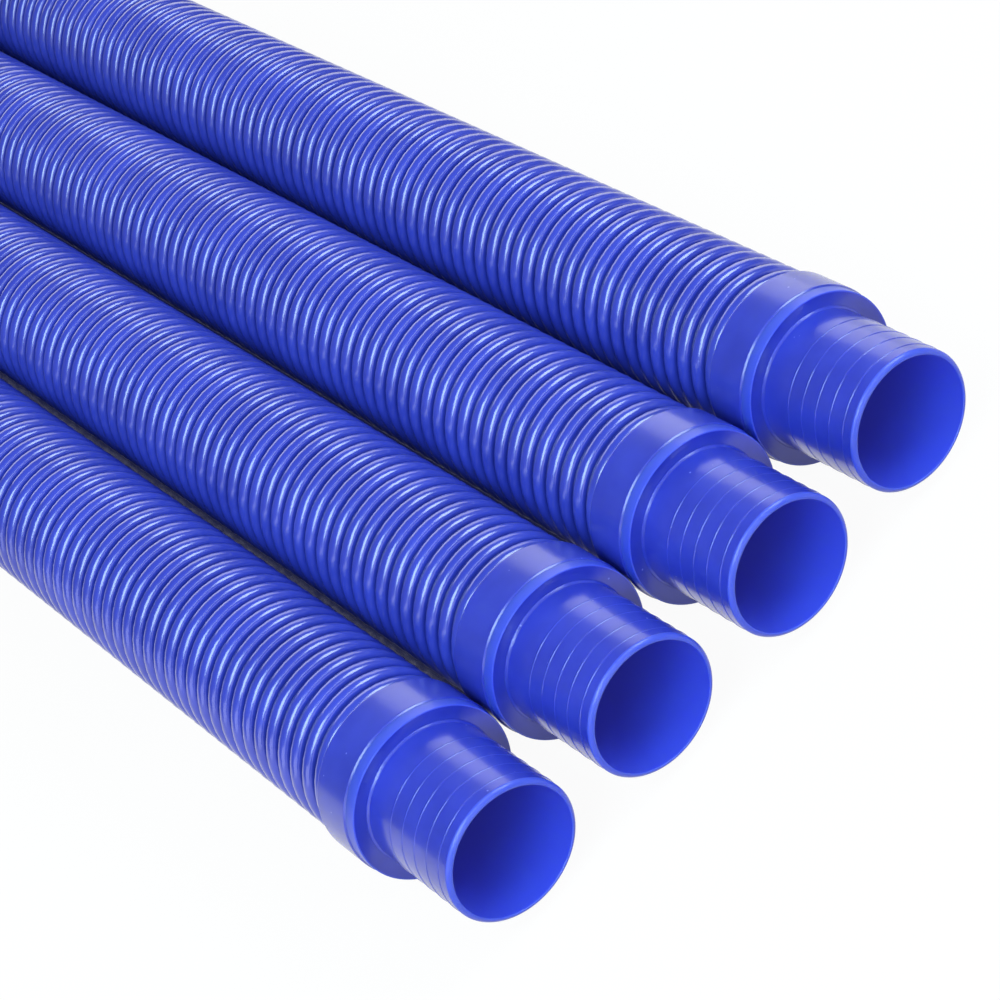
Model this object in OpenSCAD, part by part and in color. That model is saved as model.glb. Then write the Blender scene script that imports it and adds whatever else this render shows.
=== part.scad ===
// Four push-together sections of corrugated pool cleaner hose, lying side by side.
// A section is a corrugated tube with a male cuff glued over one end and a female cuff over
// the other. The male spigot of one section pushes into the female socket of the next.
// +X runs along the hoses towards the male spigots, +Y across the row and +Z up.

/* [Set] */
// Length of one section, from the tip of its spigot to the mouth of its socket
section_len = 1000; // [500:10:1800]
// Space between the collars of neighbouring sections
section_gap = 0.3; // [0.3:0.1:30]
// How far the spigot tip of each section stands ahead of the first one
tip_ahead = [0, 1.3, 3.2, -0.2]; // [-30:0.1:30]

/* [Corrugated tube] */
// Outside diameter over the ridges
ridge_d = 46.2; // [42:0.1:60]
// Inside diameter between the ridges
bore_d = 40; // [30:0.1:41]
// Thickness of the tube's wall between the ridges
tube_wall = 0.9; // [0.6:0.05:1.2]
// Distance from one ridge to the next
ridge_pitch = 5.8; // [5:0.05:9]
// Width of a ridge at its foot
ridge_w = 4; // [3:0.1:4.4]
// Width of a ridge's crest
crest_w = 2; // [1:0.1:2.8]
// Distance from the tube's front end to the middle of its first ridge
first_ridge = 3.7; // [2.2:0.1:6]

/* [Collars over the tube's ends] */
// Thickness of a collar's wall
collar_wall = 0.85; // [0.6:0.05:4]
// Clearance between the ridges and the inside of a collar
collar_fit = 0.25; // [0.1:0.05:0.6]
// Length of the tube held inside each collar
collar_grip = 13; // [8:0.5:40]
// Thickness of the wall that the tube's end stops against
shoulder_wall = 2; // [1.2:0.1:4]
// Space between the tube's end and that wall
end_fit = 0.3; // [0.1:0.05:0.6]
// Radius of a collar's outer edges
collar_round = 1.6; // [0.4:0.1:2]

/* [Male spigot] */
// Outside diameter of the spigot
spigot_d = 38.1; // [30:0.1:41]
// Thickness of the spigot's wall
spigot_wall = 1.5; // [1.2:0.1:3]
// Length of the spigot, from its tip to the collar's rim
spigot_len = 33.6; // [20:0.1:80]
// Radius of the outer edge of the spigot's lip
lip_round = 1.1; // [0.3:0.1:1.2]
// Depth of the recess in the collar's front, behind its rim
recess_depth = 1.2; // [0.4:0.1:3]
// Width of the collar's rim around the recess
rim_w = 1.9; // [1.2:0.1:2.4]
// How far the raised ring at the spigot's root stands off the spigot
root_ring_h = 0.6; // [0.2:0.1:1]
// Length of that ring, ahead of the recess's floor
root_ring_w = 0.7; // [0.3:0.1:1]

/* [Female socket] */
// Clearance all round between a spigot and the socket it pushes into
socket_fit = 0.1; // [0.05:0.05:0.5]
// Thickness of the socket's wall
socket_wall = 2; // [1.4:0.1:2.6]
// Space left ahead of the tip of a spigot that is pushed right in
socket_spare = 2; // [0.5:0.1:10]
// Thickness of the bead around the socket's mouth
bead_h = 1.1; // [0.4:0.1:1.2]
// Length of that bead
bead_w = 4; // [2.4:0.1:10]

/* [Hidden] */
sections = 4;
$fn = 96;
edge_fn = 24;
past = 1;

ridge_r = ridge_d / 2;
bore_r = bore_d / 2;
valley_r = bore_r + tube_wall;
spigot_r = spigot_d / 2;
spigot_bore_r = spigot_r - spigot_wall;
cup_r = ridge_r + collar_fit;
collar_r = cup_r + collar_wall;
socket_r = spigot_r + socket_fit;
socket_depth = spigot_len + socket_spare;
socket_out_r = socket_r + socket_wall;
bead_r = socket_out_r + bead_h;

// Places along a section, measured back from the tip of its spigot
recess_floor = spigot_len + recess_depth;
male_shoulder = recess_floor + shoulder_wall;
male_collar_end = male_shoulder + end_fit + collar_grip;
female_shoulder = section_len - socket_depth - shoulder_wall;
female_collar_end = female_shoulder - end_fit - collar_grip;
tube_front = male_shoulder + end_fit;
tube_back = female_shoulder - end_fit;
tube_len = tube_back - tube_front;
ridges = floor((tube_len - first_ridge - ridge_w / 2 - tube_wall) / ridge_pitch) + 1;

// The set stands on its collars with the middle of its box above the origin
section_step = 2 * collar_r + section_gap;
front_x = max(tip_ahead);
back_x = min(tip_ahead) - section_len;
middle_x = (front_x + back_x) / 2;
blue = [0.17, 0.22, 0.78];
cuff_blue = [0.2, 0.25, 0.8];

function row_y(i) = (i - (sections + 1) / 2) * section_step;

// Puts a section's outline, drawn with r across and the distance from the tip down, in the row
module revolved(i) {
  translate([tip_ahead[i - 1] - middle_x, row_y(i), collar_r])
    rotate([0, 90, 0])
      rotate_extrude()
        children();
}

// A ring's outline from radius r0 to r1 between two distances behind the tip
module band(r0, r1, ahead, behind) {
  translate([r0, -behind])
    square([r1 - r0, behind - ahead]);
}

// A band whose outer edge is rounded at its front and, if asked, at its back
module round_band(r0, r1, ahead, behind, front_round, back_round) {
  difference() {
    band(r0, r1, ahead, behind);
    if (front_round > 0)
      edge_cut(r1, -ahead, front_round, 1);
    if (back_round > 0)
      edge_cut(r1, -behind, back_round, -1);
  }
}

// What rounding takes off an outer edge at radius r; side is 1 on a front and -1 on a back
module edge_cut(r, z, radius, side) {
  difference() {
    translate([r - radius, side > 0 ? z - radius : z - past])
      square([radius + past, radius + past]);
    translate([r - radius, z - side * radius])
      circle(r = radius, $fn = edge_fn);
  }
}

// One ridge's outline, from the foot of its front side over its crest to its back foot
function ridge_line(behind) = [
  [valley_r, ridge_w / 2 - behind],
  [ridge_r, crest_w / 2 - behind],
  [ridge_r, -crest_w / 2 - behind],
  [valley_r, -ridge_w / 2 - behind]
];

// The corrugated tube: a plain bore, and outside it a ridge with sloping sides at each pitch
module tube(i) {
  color(blue)
    revolved(i)
      polygon([
        [bore_r, -tube_front],
        [valley_r, -tube_front],
        for (k = [0 : ridges - 1])
          each ridge_line(tube_front + first_ridge + k * ridge_pitch),
        [valley_r, -tube_back],
        [bore_r, -tube_back]
      ]);
}

// The cup that is glued over a tube's end, between its shoulder and its open edge
module male_collar() {
  difference() {
    round_band(spigot_bore_r, collar_r, spigot_len, male_collar_end, collar_round, 0.3);
    band(0, cup_r, male_shoulder, male_collar_end + past);
    band(spigot_r - past, collar_r - rim_w, spigot_len - past, recess_floor);
  }
}

module spigot() {
  round_band(spigot_bore_r, spigot_r, 0, male_shoulder, lip_round, 0);
  round_band(spigot_bore_r, spigot_r + root_ring_h, recess_floor - root_ring_w,
    male_shoulder, root_ring_h / 2, 0);
}

module male_cuff(i) {
  color(cuff_blue)
    revolved(i)
      difference() {
        union() {
          male_collar();
          spigot();
        }
        band(0, spigot_bore_r, -past, male_shoulder + past);
      }
}

// The collar at the tube's other end carries a sleeve that takes the next section's spigot
module female_cuff(i) {
  color(cuff_blue)
    revolved(i)
      difference() {
        union() {
          round_band(bore_r - past, collar_r, female_collar_end, section_len - socket_depth,
            0.3, collar_round);
          round_band(spigot_bore_r, socket_out_r, female_shoulder, section_len, 0, 0.5);
          round_band(socket_r, bead_r, section_len - bead_w, section_len, bead_h, bead_h);
        }
        band(0, cup_r, female_collar_end - past, female_shoulder);
        band(0, spigot_bore_r, female_shoulder - past, section_len);
        band(0, socket_r, section_len - socket_depth, section_len + past);
      }
}

tube(1);  // tube_1
male_cuff(1);  // male_cuff_1
female_cuff(1);  // female_cuff_1
tube(2);  // tube_2
male_cuff(2);  // male_cuff_2
female_cuff(2);  // female_cuff_2
tube(3);  // tube_3
male_cuff(3);  // male_cuff_3
female_cuff(3);  // female_cuff_3
tube(4);  // tube_4
male_cuff(4);  // male_cuff_4
female_cuff(4);  // female_cuff_4
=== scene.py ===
import math

import bmesh
import bpy
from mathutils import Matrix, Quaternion, Vector


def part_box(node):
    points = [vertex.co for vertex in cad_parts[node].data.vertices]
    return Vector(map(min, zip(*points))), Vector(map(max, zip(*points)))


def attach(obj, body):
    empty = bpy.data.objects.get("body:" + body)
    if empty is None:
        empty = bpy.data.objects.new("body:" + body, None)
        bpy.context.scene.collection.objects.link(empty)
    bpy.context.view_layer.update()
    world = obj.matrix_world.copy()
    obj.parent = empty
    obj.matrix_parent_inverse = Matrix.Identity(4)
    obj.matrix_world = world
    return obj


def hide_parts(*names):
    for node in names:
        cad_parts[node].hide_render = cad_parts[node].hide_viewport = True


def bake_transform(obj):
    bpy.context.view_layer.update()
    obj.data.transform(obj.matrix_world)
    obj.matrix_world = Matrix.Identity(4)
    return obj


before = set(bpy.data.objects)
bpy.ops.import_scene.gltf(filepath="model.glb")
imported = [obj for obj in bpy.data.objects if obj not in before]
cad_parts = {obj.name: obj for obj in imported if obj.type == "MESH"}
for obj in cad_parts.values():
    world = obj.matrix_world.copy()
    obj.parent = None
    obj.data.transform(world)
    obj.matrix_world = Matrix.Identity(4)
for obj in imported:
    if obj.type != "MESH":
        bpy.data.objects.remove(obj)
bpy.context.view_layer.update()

# Four sections of corrugated pool vacuum hose, side by side. +X runs towards the spigots, +Y
# across the row and +Z up. Each kind of piece is modelled once, with its axis on X and its
# spigot's tip at the origin, and a copy is then moved to each section's place in the frame.
MM = 0.001
SECTIONS = (1, 2, 3, 4)
ROUND_STEPS = 96
# Room left between a rounded edge and the next ring of points
HOLD = 0.25 * MM
# How near a point has to be to count as being at a place
NEARLY = 0.02 * MM
# Faces that meet at a larger angle than this, in degrees, keep a sharp edge between them
TUBE_CREASE = 50
CUFF_CREASE = 30

# Camera, as a place, a direction and a turn in degrees about that direction
CAMERA_LENS = 108.5
CAMERA_PLACE = (1.001, -0.1579, 0.5396)
CAMERA_AIM = (-0.741, 0.1975, -0.6418)
CAMERA_ROLL = -36.54

# Room and floor
ROOM_LIGHT = 0.2
FLOOR_SIZE = 12
# The painted shade in the slits between the hoses: its colour, near black with a blue tint that stands
# in for light bounced off the hoses, how far round a point the floor looks for cover, and where the
# shade ends behind the first tip, with a short fade
SLIT_PAINTED_SHADE = (0.010, 0.012, 0.05)
SLIT_REACH = 0.4
SLITS_BEHIND = 65 * MM
SLITS_FADE = 5 * MM

# Corrugated tube
RIDGE_PITCH = 5.8 * MM
RIDGE_WIDTH = 4.2 * MM
RIDGE_ROUND = 1.9 * MM
TUBE_WALL = 0.9 * MM
TUBE_BORE_R = 20.0 * MM
TUBE_STEPS = 42
CREST_ARC = 8
HOLLOW_ARC = 4
# One place that the spiral's crest passes: behind the tip, and the angle from +Y up over +Z
CREST_BEHIND = 63.2 * MM
CREST_ANGLE = 186.8

# Collars
CUP_GAP = 0.25 * MM
COLLAR_GRIP = 13.3 * MM
SHOULDER_WALL = 2.0 * MM
SOCKET_COLLAR_ROUND = 1.6 * MM
BACK_EDGE_ROUND = 0.45 * MM
FACE_DEPTH = 1.2 * MM
FACE_HOLLOW = 0.8 * MM
FACE_STEPS = 10
FACE_EDGE_R = 23.75 * MM
FACE_EDGE_ROUND = 0.3 * MM
RIM_BAND_LENGTH = 3.4 * MM
RIM_BAND_R = 23.82 * MM
RIM_STEP_LENGTH = 0.45 * MM
RIM_STEP_ROUND = 0.08 * MM

# Spigot
SPIGOT_R = 19.05 * MM
SPIGOT_WALL = 1.5 * MM
SPIGOT_LENGTH = 33.6 * MM
LIP_ROUND = 1.1 * MM
LIP_FULLNESS = 0.36
# How far behind the tip the painted light on the lip reaches
LIP_LIGHT_DEPTH = 1.2 * LIP_ROUND
BORE_EDGE_ROUND = 0.3 * MM
FIRST_RING = 4.3 * MM
RING_STEP = 5.15 * MM
RING_COUNT = 5
RING_WIDTH = 0.55 * MM
RING_HEIGHT = 0.13 * MM
ROOT_RING_HEIGHT = 0.5 * MM
ROOT_RING_WIDTH = 0.35 * MM
ROOT_RING_SLOPE = 0.45 * MM
ROOT_RING_ROUND = 0.12 * MM

# Socket
SOCKET_R = 19.15 * MM
SOCKET_WALL = 2.0 * MM
SOCKET_DEPTH = 35.6 * MM
SOCKET_EDGE_ROUND = 0.4 * MM
BEAD_HEIGHT = 1.1 * MM
BEAD_WIDTH = 4.0 * MM
BEAD_BACK_ROUND = 0.95 * BEAD_HEIGHT


def section_facts(number):
    """Where a section lies and how thick it is, from its CAD nodes."""
    tube_low, tube_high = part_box(f"tube_{number}")
    male_low, male_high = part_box(f"male_cuff_{number}")
    female_low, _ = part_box(f"female_cuff_{number}")
    return {
        "tip": male_high.x,
        "length": male_high.x - female_low.x,
        "tube_front": male_high.x - tube_high.x,
        "tube_back": male_high.x - tube_low.x,
        "y": (male_low.y + male_high.y) / 2,
        "z": (male_low.z + male_high.z) / 2,
        "ridge_r": (tube_high.z - tube_low.z) / 2,
        "collar_r": (male_high.z - male_low.z) / 2,
    }


FACTS = {number: section_facts(number) for number in SECTIONS}
FIRST = FACTS[1]
SECTION_LENGTH = FIRST["length"]
TUBE_FRONT = FIRST["tube_front"]
TUBE_BACK = FIRST["tube_back"]
RIDGE_R = FIRST["ridge_r"]
COLLAR_R = FIRST["collar_r"]
CUP_R = RIDGE_R + CUP_GAP
VALLEY_R = TUBE_BORE_R + TUBE_WALL
CUFF_BORE_R = SPIGOT_R - SPIGOT_WALL


# ---------------------------------------------------------------- camera, floor and light

def aimed(data, name, place, aim, roll=0):
    """Adds a camera or a lamp at a place, looking along aim."""
    thing = bpy.data.objects.new(name, data)
    bpy.context.collection.objects.link(thing)
    thing.location = place
    thing.rotation_mode = "QUATERNION"
    turn = Quaternion((0, 0, 1), math.radians(roll))
    thing.rotation_quaternion = Vector(aim).to_track_quat("-Z", "Y") @ turn
    return thing


def camera():
    data = bpy.data.cameras.new("view")
    data.lens = CAMERA_LENS
    data.sensor_width = 36
    data.clip_start = 0.01
    bpy.context.scene.camera = aimed(data, "view", CAMERA_PLACE, CAMERA_AIM, CAMERA_ROLL)


def softbox(name, place, target, size, power, colour):
    data = bpy.data.lights.new(name, "AREA")
    data.shape = "RECTANGLE"
    data.size, data.size_y = size
    data.energy = power
    data.color = colour
    lamp = aimed(data, name, place, Vector(target) - Vector(place))
    lamp.visible_camera = False


def studio():
    """A dim room, seen as white by the camera, with softboxes round the row."""
    world = bpy.data.worlds.new("pale_studio")
    bpy.context.scene.world = world
    world.use_nodes = True
    nodes, links = world.node_tree.nodes, world.node_tree.links
    sky = nodes["Background"]
    sky.inputs["Color"].default_value = (1, 1, 1, 1)
    path = nodes.new("ShaderNodeLightPath")
    strength = nodes.new("ShaderNodeMath")
    strength.operation = "MAXIMUM"
    strength.inputs[0].default_value = ROOM_LIGHT
    links.new(path.outputs["Is Camera Ray"], strength.inputs[1])
    links.new(strength.outputs[0], sky.inputs["Strength"])
    row = (0.3, 0, 0)
    softbox("left_softbox", (0.93, -0.56, 0.86), row, (0.5, 0.8), 10.2, (0.72, 0.98, 1.0))
    softbox("right_softbox", (0.78, 0.79, 0.78), row, (0.55, 0.5), 7.3, (0.78, 0.96, 1.0))
    softbox("link_strip", (1.145, 0.167, 1.04), row, (0.8, 0.12), 1.9, (0.85, 0.98, 1.0))
    softbox("low_softbox", (0.75, -1.45, 0.32), row, (1.2, 0.6), 4.8, (0.82, 0.88, 1.0))
    softbox("front_softbox", (2.0, -0.1, 0.45), (FIRST["tip"], 0, 0), (1.7, 0.8), 6.5, (1, 1, 1))
    softbox("back_softbox", (-1.1, 0.8, 0.52), row, (2.4, 1.0), 12, (1, 1, 1))


def floor():
    """White with a faint shadow, and painted shade that makes the slits between the hoses dark behind
    their collars.
    """
    bpy.ops.object.select_all(action="DESELECT")
    bpy.ops.mesh.primitive_plane_add(size=FLOOR_SIZE, location=(0, 0, 0))
    ground = bpy.context.object
    ground.name = "floor"
    paint = bpy.data.materials.new("white_floor")
    paint.use_nodes = True
    nodes, links = paint.node_tree.nodes, paint.node_tree.links
    skin = nodes["Principled BSDF"]
    skin.inputs["Base Color"].default_value = (0.9, 0.9, 0.9, 1)
    skin.inputs["Roughness"].default_value = 0.9
    skin.inputs["Specular IOR Level"].default_value = 0.0
    path = nodes.new("ShaderNodeLightPath")
    seen = nodes.new("ShaderNodeMath")
    seen.operation = "MAXIMUM"
    links.new(path.outputs["Is Camera Ray"], seen.inputs[0])
    links.new(path.outputs["Is Glossy Ray"], seen.inputs[1])
    # Painted shade: where the hoses cover the floor closely, in the slits between them, its white glow
    # turns dark
    slits = nodes.new("ShaderNodeAmbientOcclusion")
    slits.samples = 64
    slits.inputs["Distance"].default_value = SLIT_REACH
    painted_slit_shade = ramp(paint, slits.outputs["AO"], [(0.08, SLIT_PAINTED_SHADE), (0.13, (1, 1, 1))])
    place = nodes.new("ShaderNodeTexCoord")
    along = nodes.new("ShaderNodeSeparateXYZ")
    links.new(place.outputs["Object"], along.inputs[0])
    # Ahead of the slits' end the floor stays white, without the painted shade
    slits_end = FIRST["tip"] - SLITS_BEHIND
    ahead = ramp(paint, along.outputs["X"], [
        (slits_end - SLITS_FADE, (0, 0, 0)), (slits_end + SLITS_FADE, (1, 1, 1))])
    glow = nodes.new("ShaderNodeEmission")
    links.new(blended(paint, 1.0, painted_slit_shade, ahead, "LIGHTEN"), glow.inputs["Color"])
    links.new(seen.outputs[0], glow.inputs["Strength"])
    both = nodes.new("ShaderNodeMixShader")
    both.inputs["Fac"].default_value = 0.95
    links.new(skin.outputs[0], both.inputs[1])
    links.new(glow.outputs[0], both.inputs[2])
    links.new(both.outputs[0], nodes["Material Output"].inputs["Surface"])
    ground.data.materials.append(paint)


# ---------------------------------------------------------------- modelling helpers

def only(piece):
    bpy.ops.object.select_all(action="DESELECT")
    bpy.context.view_layer.objects.active = piece
    piece.select_set(True)


def edit(piece):
    only(piece)
    bpy.ops.object.mode_set(mode="EDIT")


def done():
    bpy.ops.object.mode_set(mode="OBJECT")


def pick(piece, wanted, kind="VERT"):
    """In edit mode, selects the points, or the edges with all their points, where wanted() holds."""
    bpy.ops.mesh.select_mode(type=kind)
    bpy.ops.mesh.select_all(action="DESELECT")
    mesh = bmesh.from_edit_mesh(piece.data)
    for part in mesh.verts if kind == "VERT" else mesh.edges:
        ends = [part] if kind == "VERT" else part.verts
        if all(wanted(end.co) for end in ends):
            part.select_set(True)
    mesh.select_flush_mode()
    bmesh.update_edit_mesh(piece.data)


def circle(name, steps, radius, place, turn):
    """A ring of edges, with its place and turn put into its mesh."""
    bpy.ops.object.select_all(action="DESELECT")
    bpy.ops.mesh.primitive_circle_add(vertices=steps, radius=radius, location=place, rotation=turn)
    piece = bpy.context.object
    piece.name = name
    bpy.ops.object.transform_apply(location=True, rotation=True, scale=True)
    return piece


def turned(name, stations):
    """A moulding turned about X: a ring is extruded from station to station and closed on itself.

    A station is a distance behind the tip and a radius. They go once round the wall's outline.
    """
    behind, radius = stations[0]
    piece = circle(name, ROUND_STEPS, radius, (-behind, 0, 0), (0, math.pi / 2, 0))
    edit(piece)
    bpy.ops.mesh.select_all(action="SELECT")
    for next_behind, next_radius in stations[1:] + stations[:1]:
        bpy.ops.mesh.extrude_edges_move(TRANSFORM_OT_translate={"value": (behind - next_behind, 0, 0)})
        share = next_radius / radius
        bpy.ops.transform.resize(value=(1, share, share), center_override=(-next_behind, 0, 0))
        behind, radius = next_behind, next_radius
    bpy.ops.mesh.select_all(action="SELECT")
    bpy.ops.mesh.remove_doubles(threshold=NEARLY / 10)
    bpy.ops.mesh.normals_make_consistent(inside=False)
    done()
    return piece


def rounded(piece, behind, radius, size, steps, fullness=0.5):
    """Bevels the ring of edges at one station."""
    def on_ring(p):
        return abs(p.x + behind) < NEARLY and abs(math.hypot(p.y, p.z) - radius) < NEARLY
    edit(piece)
    pick(piece, on_ring, "EDGE")
    bpy.ops.mesh.bevel(offset=size, segments=steps, profile=fullness, affect="EDGES")
    done()


def finished(piece, crease_degrees):
    only(piece)
    bpy.ops.object.shade_smooth_by_angle(angle=math.radians(crease_degrees))
    return piece


def placed(pattern, name, number, paint):
    """A copy of a modelled piece, with its own mesh, at one section's place in the row."""
    facts = FACTS[number]
    piece = bpy.data.objects.new(name, pattern.data.copy())
    piece.data.name = name
    bpy.context.collection.objects.link(piece)
    only(piece)
    piece.location = (facts["tip"], facts["y"], facts["z"])
    bpy.ops.object.transform_apply(location=True, rotation=False, scale=False)
    piece.data.materials.clear()
    piece.data.materials.append(paint)
    return piece


# ---------------------------------------------------------------- corrugated tube

def wall_line(name, half_width, round_height, crest_r, foot_r, arc):
    """One pitch of one side of the tube's wall, above the axis: a round rise and a flat."""
    middle = crest_r - round_height
    line = circle(name, 2 * arc, half_width, (0, 0, middle), (math.pi / 2, 0, 0))
    edit(line)
    bpy.ops.mesh.select_all(action="SELECT")
    bpy.ops.transform.resize(value=(1, 1, round_height / half_width), center_override=(0, 0, middle))
    pick(line, lambda p: p.z < middle - NEARLY)
    bpy.ops.mesh.delete(type="VERT")
    pick(line, lambda p: p.z < middle + NEARLY)
    bpy.ops.transform.translate(value=(0, 0, foot_r - middle))
    pick(line, lambda p: p.x > half_width - NEARLY)
    flat = RIDGE_PITCH - 2 * half_width
    bpy.ops.mesh.extrude_vertices_move(TRANSFORM_OT_translate={"value": (flat, 0, 0)})
    done()
    return line


def cut_end(tube, behind, keep_ahead):
    """Cuts the tube square at a distance behind the tip and closes the wall there."""
    edit(tube)
    bpy.ops.mesh.select_mode(type="VERT")
    bpy.ops.mesh.select_all(action="SELECT")
    bpy.ops.mesh.bisect(
        plane_co=(-behind, 0, 0), plane_no=(1, 0, 0), threshold=NEARLY / 20,
        clear_inner=keep_ahead, clear_outer=not keep_ahead)
    pick(tube, lambda p: abs(p.x + behind) < NEARLY / 10, "EDGE")
    bpy.ops.mesh.fill(use_beauty=True)
    done()


def corrugated_tube():
    """The spiral ridge: one pitch of the wall is screwed along the axis and cut to length."""
    half, wall = RIDGE_WIDTH / 2, TUBE_WALL
    tube = wall_line("tube", half, RIDGE_ROUND, RIDGE_R, VALLEY_R, CREST_ARC)
    inside = wall_line(
        "tube_inside", half - wall, RIDGE_ROUND - wall, RIDGE_R - wall, TUBE_BORE_R, HOLLOW_ARC)
    only(tube)
    inside.select_set(True)
    bpy.ops.object.join()
    crest = -CREST_BEHIND + RIDGE_PITCH * (90 - CREST_ANGLE) / 360
    turns_back = math.ceil((TUBE_BACK + crest) / RIDGE_PITCH) + 1
    start = crest - turns_back * RIDGE_PITCH
    edit(tube)
    bpy.ops.mesh.select_all(action="SELECT")
    bpy.ops.transform.translate(value=(start, 0, 0))
    done()
    screw = tube.modifiers.new("screw", "SCREW")
    screw.axis = "X"
    screw.angle = 2 * math.pi
    screw.screw_offset = RIDGE_PITCH
    screw.iterations = math.ceil((-TUBE_FRONT - start) / RIDGE_PITCH) + 1
    screw.steps = TUBE_STEPS
    screw.render_steps = TUBE_STEPS
    only(tube)
    bpy.ops.object.modifier_apply(modifier="screw")
    edit(tube)
    bpy.ops.mesh.select_all(action="SELECT")
    bpy.ops.mesh.remove_doubles(threshold=NEARLY / 10)
    done()
    cut_end(tube, TUBE_FRONT, False)
    cut_end(tube, TUBE_BACK, True)
    edit(tube)
    bpy.ops.mesh.select_all(action="SELECT")
    bpy.ops.mesh.remove_doubles(threshold=NEARLY / 20)
    bpy.ops.mesh.normals_make_consistent(inside=False)
    done()
    keep_ridge_height(tube)
    return finished(tube, TUBE_CREASE)


def keep_ridge_height(tube):
    """Stores 0 in the valleys to 1 on the crests, for the painted shade in the valleys."""
    height = tube.data.attributes.new("ridge_height", "FLOAT", "POINT")
    for vertex, stored in zip(tube.data.vertices, height.data):
        radius = math.hypot(vertex.co.y, vertex.co.z)
        stored.value = max(0, min(1, (radius - VALLEY_R) / (RIDGE_R - VALLEY_R)))


def keep_rest_place(piece):
    """Stores each point's place at rest, so that the pattern bends with the tube."""
    rest = piece.data.attributes.new("rest_place", "FLOAT_VECTOR", "POINT")
    places = [c for vertex in piece.data.vertices for c in vertex.co]
    rest.data.foreach_set("vector", places)


# ---------------------------------------------------------------- cuffs

def fine_rings():
    """The spigot's raised rings, each with a rounded back."""
    stations = []
    for k in range(RING_COUNT):
        middle = FIRST_RING + k * RING_STEP
        for shift, rise in ((-0.5, 0), (-0.25, 0.8), (0, 1), (0.25, 0.8), (0.5, 0)):
            stations.append((middle + shift * RING_WIDTH, SPIGOT_R + rise * RING_HEIGHT))
    return stations


def collar_face():
    """The collar's hollow front, from the root ring out to its sharp front edge."""
    floor_at = SPIGOT_LENGTH + FACE_DEPTH
    inner = SPIGOT_R + ROOT_RING_HEIGHT
    stations = [(floor_at, inner)]
    for k in range(1, FACE_STEPS + 1):
        share = k / FACE_STEPS
        stations.append((floor_at - FACE_HOLLOW * share ** 2, inner + (FACE_EDGE_R - inner) * share))
    return stations


def keep_skins(cuff, band_end):
    """Stores where the lip and the rim band get painted light, standing in for light through the lip's
    narrow wall and on the band, and a satin skin; and which skin is the bore, which gets painted light
    too.
    """
    painted_edge_light_mask = cuff.data.attributes.new("edge_painted_light_and_satin", "FLOAT", "POINT")
    bore = cuff.data.attributes.new("bore_painted_light", "FLOAT", "POINT")
    for vertex, on_edge, in_bore in zip(cuff.data.vertices, painted_edge_light_mask.data, bore.data):
        behind, radius = -vertex.co.x, math.hypot(vertex.co.y, vertex.co.z)
        on_band = radius > FACE_EDGE_R - FACE_EDGE_ROUND and behind < band_end
        on_edge.value = 1 if behind < LIP_LIGHT_DEPTH or on_band else 0
        in_bore.value = 1 if radius < CUFF_BORE_R + NEARLY else 0


def male_cuff():
    floor_at = SPIGOT_LENGTH + FACE_DEPTH
    shoulder = floor_at + SHOULDER_WALL
    end = shoulder + COLLAR_GRIP
    root = floor_at - ROOT_RING_WIDTH
    face = floor_at - FACE_HOLLOW
    band_end = face + RIM_BAND_LENGTH
    step_end = band_end + RIM_STEP_LENGTH
    cuff = turned("male_cuff", [
        (0, CUFF_BORE_R), (0, SPIGOT_R), (LIP_ROUND + HOLD, SPIGOT_R), *fine_rings(),
        (root - ROOT_RING_SLOPE, SPIGOT_R), (root, SPIGOT_R + ROOT_RING_HEIGHT), *collar_face(),
        (face + FACE_EDGE_ROUND + HOLD, FACE_EDGE_R), (band_end - RIM_STEP_ROUND - HOLD, RIM_BAND_R),
        (band_end, RIM_BAND_R), (step_end, COLLAR_R), (step_end + RIM_STEP_ROUND + HOLD, COLLAR_R),
        (end - BACK_EDGE_ROUND - HOLD, COLLAR_R), (end, COLLAR_R), (end, CUP_R),
        (shoulder, CUP_R), (shoulder, CUFF_BORE_R), (BORE_EDGE_ROUND + HOLD, CUFF_BORE_R),
    ])
    rounded(cuff, 0, SPIGOT_R, LIP_ROUND, 6, LIP_FULLNESS)
    rounded(cuff, 0, CUFF_BORE_R, BORE_EDGE_ROUND, 4)
    rounded(cuff, root, SPIGOT_R + ROOT_RING_HEIGHT, ROOT_RING_ROUND, 3)
    rounded(cuff, face, FACE_EDGE_R, FACE_EDGE_ROUND, 4)
    rounded(cuff, band_end, RIM_BAND_R, RIM_STEP_ROUND, 3)
    rounded(cuff, step_end, COLLAR_R, RIM_STEP_ROUND, 3)
    rounded(cuff, end, COLLAR_R, BACK_EDGE_ROUND, 4)
    keep_skins(cuff, band_end)
    return finished(cuff, CUFF_CREASE)


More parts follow.
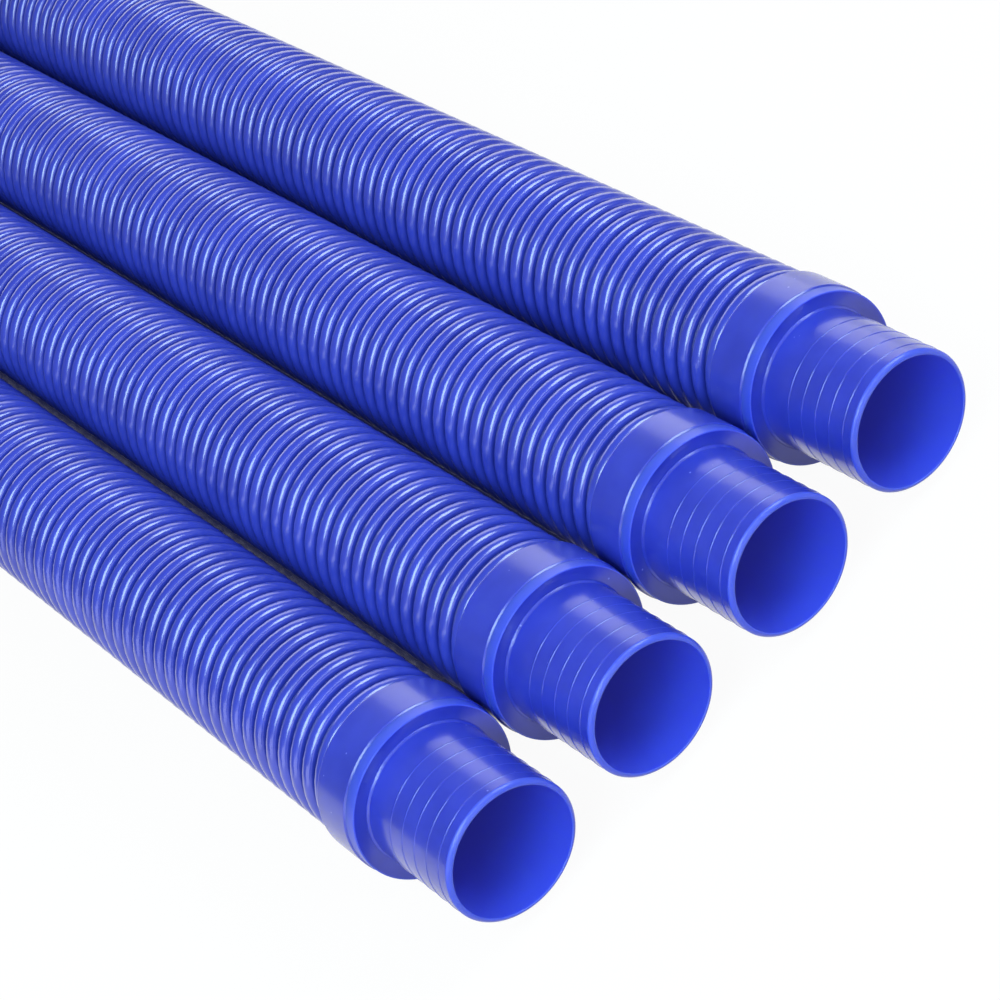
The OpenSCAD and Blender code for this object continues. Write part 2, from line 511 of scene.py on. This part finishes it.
def female_cuff():
    mouth = SECTION_LENGTH
    socket_floor = mouth - SOCKET_DEPTH
    shoulder = socket_floor - SHOULDER_WALL
    front = shoulder - COLLAR_GRIP
    outside = SOCKET_R + SOCKET_WALL
    bead = outside + BEAD_HEIGHT
    cuff = turned("female_cuff", [
        (front, CUP_R), (front, COLLAR_R), (front + BACK_EDGE_ROUND + HOLD, COLLAR_R),
        (socket_floor - SOCKET_COLLAR_ROUND - HOLD, COLLAR_R), (socket_floor, COLLAR_R),
        (socket_floor, outside),
        (mouth - BEAD_WIDTH, outside), (mouth - BEAD_WIDTH, bead), (mouth, bead),
        (mouth, SOCKET_R), (socket_floor, SOCKET_R), (socket_floor, CUFF_BORE_R),
        (shoulder, CUFF_BORE_R), (shoulder, CUP_R),
    ])
    rounded(cuff, front, COLLAR_R, BACK_EDGE_ROUND, 4)
    rounded(cuff, socket_floor, COLLAR_R, SOCKET_COLLAR_ROUND, 8)
    rounded(cuff, mouth - BEAD_WIDTH, bead, BEAD_BACK_ROUND, 5)
    rounded(cuff, mouth, bead, BEAD_HEIGHT, 5)
    rounded(cuff, mouth, SOCKET_R, SOCKET_EDGE_ROUND, 4)
    keep_skins(cuff, 0)
    return finished(cuff, CUFF_CREASE)


# ---------------------------------------------------------------- finishes

def paint_nodes(name, roughness, coat, coat_roughness):
    paint = bpy.data.materials.new(name)
    paint.use_nodes = True
    skin = paint.node_tree.nodes["Principled BSDF"]
    skin.inputs["Roughness"].default_value = roughness
    skin.inputs["Coat Weight"].default_value = coat
    skin.inputs["Coat Roughness"].default_value = coat_roughness
    skin.inputs["IOR"].default_value = 1.55
    return paint, skin


def ramp(paint, value, stops):
    """A colour ramp on a value: stops are (place, colour)."""
    made = paint.node_tree.nodes.new("ShaderNodeValToRGB")
    marks = made.color_ramp.elements
    while len(marks) < len(stops):
        marks.new(0.5)
    for mark, (place, colour) in zip(marks, stops):
        mark.position = place
        mark.color = (*colour, 1)
    paint.node_tree.links.new(value, made.inputs["Fac"])
    return made.outputs["Color"]


def noise(paint, place, scale, detail):
    made = paint.node_tree.nodes.new("ShaderNodeTexNoise")
    made.inputs["Scale"].default_value = scale
    made.inputs["Detail"].default_value = detail
    paint.node_tree.links.new(place, made.inputs["Vector"])
    return made.outputs["Fac"]


def blended(paint, share, first, second, kind="MIX"):
    """Mixes two colours. Each, like the share, is a socket or a plain value."""
    made = paint.node_tree.nodes.new("ShaderNodeMix")
    made.data_type = "RGBA"
    made.blend_type = kind
    sockets = [s for s in made.inputs if s.enabled]
    for socket, value in zip(sockets, (share, first, second)):
        if isinstance(value, bpy.types.NodeSocket):
            paint.node_tree.links.new(value, socket)
        else:
            socket.default_value = value if socket.type == "VALUE" else (*value, 1)
    return [s for s in made.outputs if s.enabled][0]


def bumped(paint, skin, height, strength, depth):
    made = paint.node_tree.nodes.new("ShaderNodeBump")
    made.inputs["Strength"].default_value = strength
    made.inputs["Distance"].default_value = depth
    paint.node_tree.links.new(height, made.inputs["Height"])
    paint.node_tree.links.new(made.outputs["Normal"], skin.inputs["Normal"])


def tube_plastic():
    """Blow-moulded blue plastic: glossy, a little cloudy, and with painted shade that makes it darker
    in the valleys.
    """
    paint, skin = paint_nodes("tube_blue_plastic", 0.28, 1.0, 0.14)
    nodes, links = paint.node_tree.nodes, paint.node_tree.links
    place = nodes.new("ShaderNodeAttribute")
    place.attribute_name = "rest_place"
    height = nodes.new("ShaderNodeAttribute")
    height.attribute_name = "ridge_height"
    body = ramp(paint, noise(paint, place.outputs["Vector"], 60, 3), [
        (0.35, (0.026, 0.044, 0.46)), (0.65, (0.035, 0.058, 0.55))])
    # Painted shade: the base colour is darker down in the valleys, where the ridges shade them
    painted_valley_shade = ramp(paint, height.outputs["Fac"], [(0.0, (0.42, 0.42, 0.48)), (0.5, (1, 1, 1))])
    links.new(blended(paint, 1.0, body, painted_valley_shade, "MULTIPLY"), skin.inputs["Base Color"])
    bumped(paint, skin, noise(paint, place.outputs["Vector"], 500, 2), 0.06, 0.05 * MM)
    return paint


def cuff_plastic():
    """Injection-moulded blue plastic with a satin skin, faint clouds, a few pale specks, and painted
    light on the lip, the rim band and in the bore.
    """
    paint, skin = paint_nodes("cuff_blue_plastic", 0.26, 0.4, 0.15)
    skin.inputs["Subsurface Weight"].default_value = 0.6
    skin.inputs["Subsurface Radius"].default_value = (0.2, 0.3, 1.0)
    skin.inputs["Subsurface Scale"].default_value = 4 * MM
    nodes, links = paint.node_tree.nodes, paint.node_tree.links
    place = nodes.new("ShaderNodeTexCoord")
    clouds = ramp(paint, noise(paint, place.outputs["Object"], 70, 3), [
        (0.35, (0.028, 0.046, 0.47)), (0.65, (0.036, 0.058, 0.55))])
    cells = nodes.new("ShaderNodeTexVoronoi")
    cells.inputs["Scale"].default_value = 150
    links.new(place.outputs["Object"], cells.inputs["Vector"])
    specks = ramp(paint, cells.outputs["Distance"], [(0.03, (1, 1, 1)), (0.05, (0, 0, 0))])
    body = blended(paint, specks, clouds, (0.16, 0.20, 0.75))
    # Painted light: the lip and the rim band get a lighter blue, for light through the lip's narrow
    # wall and light on the band's rounding
    painted_edge_light_mask = nodes.new("ShaderNodeAttribute")
    painted_edge_light_mask.attribute_name = "edge_painted_light_and_satin"
    # Painted light: the bore gets a lighter blue, standing in for light that reaches into it
    bore = nodes.new("ShaderNodeAttribute")
    bore.attribute_name = "bore_painted_light"
    glow = blended(paint, painted_edge_light_mask.outputs["Fac"], body, (0.044, 0.085, 0.68))
    skins = blended(paint, bore.outputs["Fac"], glow, (0.024, 0.056, 0.610))
    links.new(skins, skin.inputs["Base Color"])
    # A faint glow in the bore stands in for light that comes through the wall
    through = blended(paint, bore.outputs["Fac"], (0, 0, 0), (0.0110, 0.0108, 0.085))
    links.new(through, skin.inputs["Emission Color"])
    skin.inputs["Emission Strength"].default_value = 1.0
    satin = ramp(paint, painted_edge_light_mask.outputs["Fac"], [(0, (0.26,) * 3), (1, (0.5,) * 3)])
    links.new(satin, skin.inputs["Roughness"])
    bumped(paint, skin, noise(paint, place.outputs["Object"], 1600, 2), 0.12, 0.04 * MM)
    return paint


# ---------------------------------------------------------------- the four sections

def lay_out():
    tube_pattern, male_pattern, female_pattern = corrugated_tube(), male_cuff(), female_cuff()
    tube_paint, cuff_paint = tube_plastic(), cuff_plastic()
    for number in SECTIONS:
        section, male_end = f"section_{number}", f"male_end_{number}"
        male = placed(male_pattern, f"male_cuff_piece_{number}", number, cuff_paint)
        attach(male, male_end)
        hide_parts(f"male_cuff_{number}")
        female = placed(female_pattern, f"female_cuff_piece_{number}", number, cuff_paint)
        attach(female, section)
        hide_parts(f"female_cuff_{number}")
        tube = placed(tube_pattern, f"tube_piece_{number}", number, tube_paint)
        keep_rest_place(tube)
        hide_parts(f"tube_{number}")
        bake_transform(tube)
    for pattern in (tube_pattern, male_pattern, female_pattern):
        bpy.data.objects.remove(pattern)


bpy.context.scene.view_settings.view_transform = "Standard"
camera()
lay_out()
floor()
studio()
